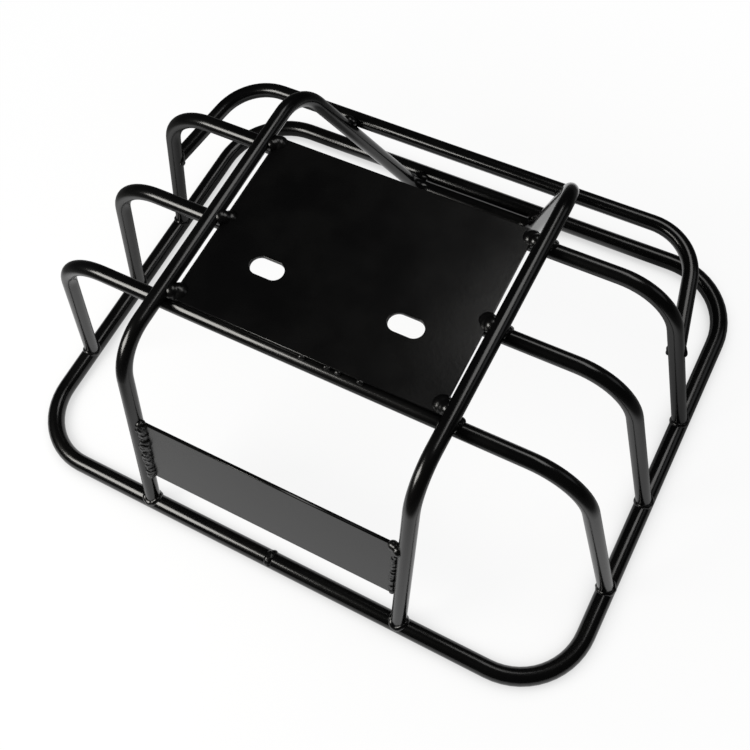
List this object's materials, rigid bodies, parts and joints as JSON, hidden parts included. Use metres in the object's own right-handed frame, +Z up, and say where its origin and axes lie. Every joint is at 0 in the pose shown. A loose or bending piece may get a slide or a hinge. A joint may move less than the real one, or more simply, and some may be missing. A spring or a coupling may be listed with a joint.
{
  "type": "motorcycle front carrier",
  "caption": "Small welded rack of black painted steel rod: base ring, long hoop, cross ribs, rear rail, slotted top plate and a front plate between the legs.",
  "frame": {"origin": "middle of the base ring, on the surface that the ring lies on", "axes": "+X across the rack towards its right side, +Y towards the rear rail, +Z up"},
  "size_m": [0.331, 0.2639, 0.1228],
  "materials": {
    "rod_paint": "gloss black paint on round steel rod",
    "sheet_paint": "gloss black paint on flat steel sheet",
    "weld_paint": "gloss black paint over weld beads"
  },
  "bodies": {
    "root": {"ring": "rod_paint", "hoop": "rod_paint", "front_rib": "rod_paint", "middle_rib": "rod_paint", "rear_rib": "rod_paint", "rear_rail": "rod_paint", "top_plate": "sheet_paint", "front_plate": "sheet_paint", "ring_butt_weld": "weld_paint", "hoop_foot_welds": "weld_paint", "hoop_base_welds": "weld_paint", "front_rib_foot_welds": "weld_paint", "middle_rib_foot_welds": "weld_paint", "rear_rib_foot_welds": "weld_paint", "front_rib_hoop_welds": "weld_paint", "middle_rib_hoop_welds": "weld_paint", "rear_rib_hoop_welds": "weld_paint", "front_plate_corner_tacks": "weld_paint", "middle_plate_tacks": "weld_paint", "rear_plate_corner_tacks": "weld_paint", "plate_edge_tacks": "weld_paint", "rail_hoop_welds": "weld_paint", "rail_end_welds": "weld_paint", "left_front_plate_weld": "weld_paint", "right_front_plate_weld": "weld_paint"}
  },
  "joints": []
}
